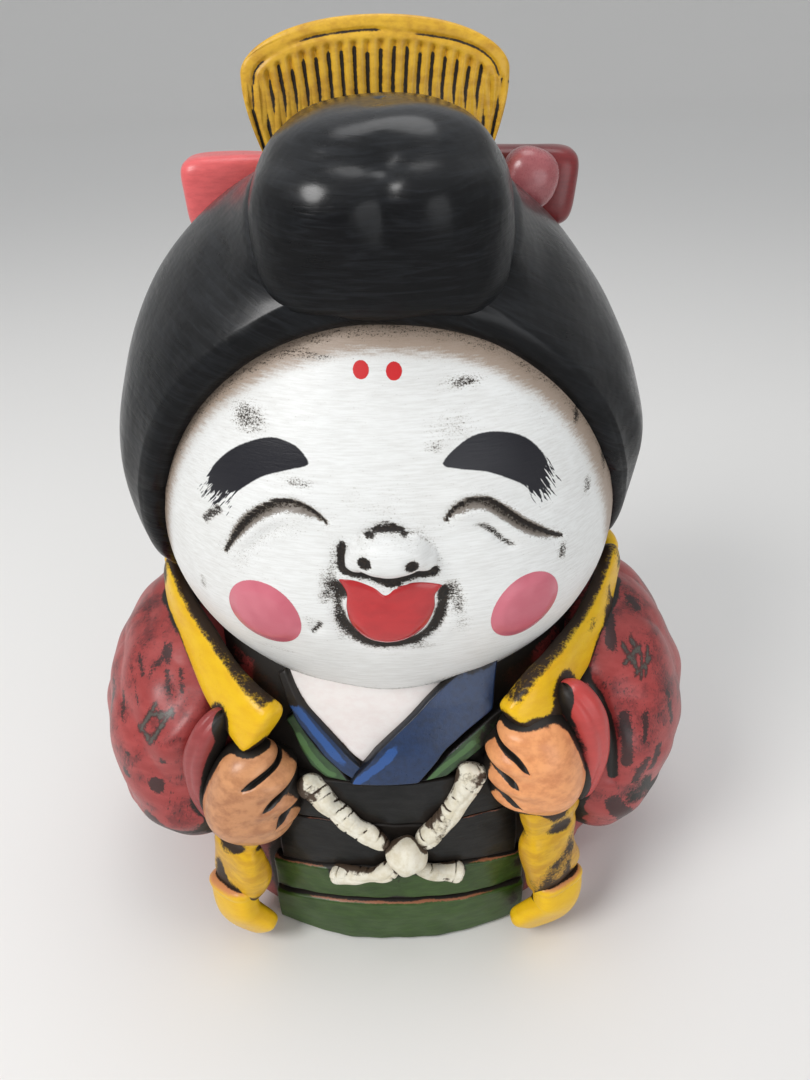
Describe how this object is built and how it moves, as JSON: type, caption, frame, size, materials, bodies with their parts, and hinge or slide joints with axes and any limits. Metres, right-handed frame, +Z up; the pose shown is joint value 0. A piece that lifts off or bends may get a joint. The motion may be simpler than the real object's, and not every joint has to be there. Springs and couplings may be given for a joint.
{
  "type": "painted clay lady doll",
  "caption": "Hand-painted hollow clay doll of a smiling round-faced lady in a wide coat and corded sash, with dressed hair, comb and ribbon.",
  "frame": {"origin": "middle of the doll's box, on the surface that it stands on", "axes": "+Z up from the floor to the comb, -Y the way the face looks, +X to the right of someone facing the doll"},
  "size_m": [0.154, 0.1168, 0.205],
  "materials": {
    "face_white": "off-white paint over fired clay, eggshell sheen, dark antique wash",
    "hair_black": "glossy black paint over fired clay, brushed",
    "comb_yellow": "yellow paint over fired clay, dark wash between the teeth",
    "ribbon_red": "glossy red paint over fired clay",
    "bead_pink": "glossy pink paint over fired clay",
    "lip_red": "glossy red paint over fired clay",
    "coat_red": "satin red paint over fired clay, dark wash and brush marks",
    "lapel_yellow": "satin yellow paint over fired clay, dark wash",
    "hand_clay": "bare-clay orange, satin, dark lines between the fingers",
    "collar_blue": "satin blue paint over fired clay, brushed",
    "collar_green": "satin dark green paint over fired clay",
    "chest_white": "matte pinkish-white paint over fired clay",
    "sash_black": "satin black paint over fired clay, bare clay at the edges",
    "sash_green": "satin green paint over fired clay",
    "cord_cream": "matte cream paint over fired clay, dark wash in the grooves"
  },
  "bodies": {
    "root": {"head_shell": "face_white", "nose": "face_white", "lips": "lip_red", "hair_cap": "hair_black", "forelock": "hair_black", "chignon": "hair_black", "comb": "comb_yellow", "ribbon_loop_left": "ribbon_red", "ribbon_loop_right": "ribbon_red", "ribbon_knot": "ribbon_red", "hair_bead": "bead_pink", "torso_shell": "coat_red", "hem_band": "sash_green", "green_band": "sash_green", "sash_lower": "sash_black", "sash_upper": "sash_black", "chest": "chest_white", "inner_collar_left": "collar_blue", "inner_collar_right": "collar_blue", "outer_collar_left": "collar_green", "outer_collar_right": "collar_green", "cord_knot": "cord_cream", "cord_run_left": "cord_cream", "cord_run_right": "cord_cream", "cord_tail_left": "cord_cream", "cord_tail_right": "cord_cream", "lapel_neck": "lapel_yellow", "hand_left": "hand_clay", "lapel_upper_left": "lapel_yellow", "lapel_lower_left": "lapel_yellow", "lapel_end_left": "lapel_yellow", "cuff_left": "coat_red", "sleeve_left": "coat_red", "hand_right": "hand_clay", "lapel_upper_right": "lapel_yellow", "lapel_lower_right": "lapel_yellow", "lapel_end_right": "lapel_yellow", "cuff_right": "coat_red", "sleeve_right": "coat_red"}
  },
  "joints": []
}
